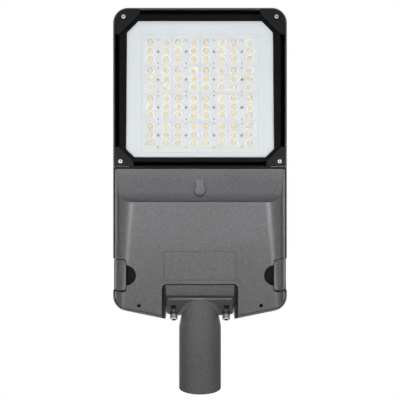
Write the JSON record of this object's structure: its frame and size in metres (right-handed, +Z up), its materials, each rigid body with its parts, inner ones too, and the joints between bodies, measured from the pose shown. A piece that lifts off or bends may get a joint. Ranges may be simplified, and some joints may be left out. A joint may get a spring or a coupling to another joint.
{
  "type": "led street light",
  "caption": "Flat LED street light head with a glazed lens field, a hinged gear cover held by side latches, and a tilting pole socket.",
  "frame": {"origin": "centre of the pole socket's mouth", "axes": "+Z up as installed, light shining to -Z; +Y from the pole socket to the LED end"},
  "size_m": [0.302, 0.665, 0.09],
  "materials": {
    "black_plastic": "moulded plastic",
    "body_paint": "fine textured grey powder coat",
    "chip_phosphor": "yellow phosphor",
    "clamp_paint": "dark textured coat",
    "clear_glass": "clear toughened glass, black printed border",
    "cover_paint": "fine textured grey powder coat",
    "driver_case": "satin aluminium case",
    "latch_paint": "grey powder coat",
    "lens_plastic": "clear moulded lens plastic",
    "seal_rubber": "silicone rubber",
    "socket_paint": "fine textured grey powder coat",
    "stainless": "plain stainless steel",
    "white_board": "white solder mask",
    "white_plastic": "moulded plastic",
    "white_sheet": "matt white sheet",
    "zinc_sheet": "bare sheet"
  },
  "bodies": {
    "spigot": {"spigot_adapter": "socket_paint", "pole_set_screws": "stainless"},
    "head": {"breather_valve": "black_plastic", "cable_clamp": "black_plastic", "cable_clamp_screws": "stainless", "clamp_screws": "stainless", "driver_screws": "stainless", "front_glass": "clear_glass", "gear_gasket": "seal_rubber", "gear_tray": "zinc_sheet", "glass_clamp_front_left": "clamp_paint", "glass_clamp_front_right": "clamp_paint", "glass_clamp_rear_left": "clamp_paint", "glass_clamp_rear_right": "clamp_paint", "glass_gasket": "seal_rubber", "hinge_pin_left": "stainless", "hinge_pin_right": "stainless", "latch_pin_left": "stainless", "latch_pin_right": "stainless", "lead_gland": "black_plastic", "led_board_1": "white_board", "led_board_2": "white_board", "led_board_3": "white_board", "led_board_4": "white_board", "led_chips": "chip_phosphor", "led_driver": "driver_case", "lens_plate_1_1": "lens_plastic", "lens_plate_1_2": "lens_plastic", "lens_plate_1_3": "lens_plastic", "lens_plate_1_4": "lens_plastic", "lens_plate_2_1": "lens_plastic", "lens_plate_2_2": "lens_plastic", "lens_plate_2_3": "lens_plastic", "lens_plate_2_4": "lens_plastic", "lens_plate_3_1": "lens_plastic", "lens_plate_3_2": "lens_plastic", "lens_plate_3_3": "lens_plastic", "lens_plate_3_4": "lens_plastic", "lens_plate_4_1": "lens_plastic", "lens_plate_4_2": "lens_plastic", "lens_plate_4_3": "lens_plastic", "lens_plate_4_4": "lens_plastic", "lens_screws": "stainless", "reflector_sheet": "white_sheet", "surge_protector": "white_plastic", "terminal_block": "white_plastic", "tilt_bolts": "stainless", "tilt_washers": "stainless", "upper_housing": "body_paint"},
    "cover": {"gear_cover": "cover_paint"},
    "latch_left": {"latch_left_lever": "latch_paint"},
    "latch_right": {"latch_right_lever": "latch_paint"}
  },
  "joints": [
    {"name": "head_tilt", "type": "hinge", "parent": "spigot", "child": "head", "pos_m": [0, 0.1775, 0.017], "axis": [1, 0, 0], "range_deg": [-15, 15]},
    {"name": "cover_hinge", "type": "hinge", "parent": "head", "child": "cover", "pos_m": [0, 0.3805, -0.0105], "axis": [1, 0, 0], "range_deg": [0, 70]},
    {"name": "latch_left_swing", "type": "hinge", "parent": "head", "child": "latch_left", "pos_m": [0.146, 0.202, -0.006], "axis": [0, -1, 0], "range_deg": [0, 75]},
    {"name": "latch_right_swing", "type": "hinge", "parent": "head", "child": "latch_right", "pos_m": [-0.146, 0.202, -0.006], "axis": [0, 1, 0], "range_deg": [0, 75]}
  ]
}
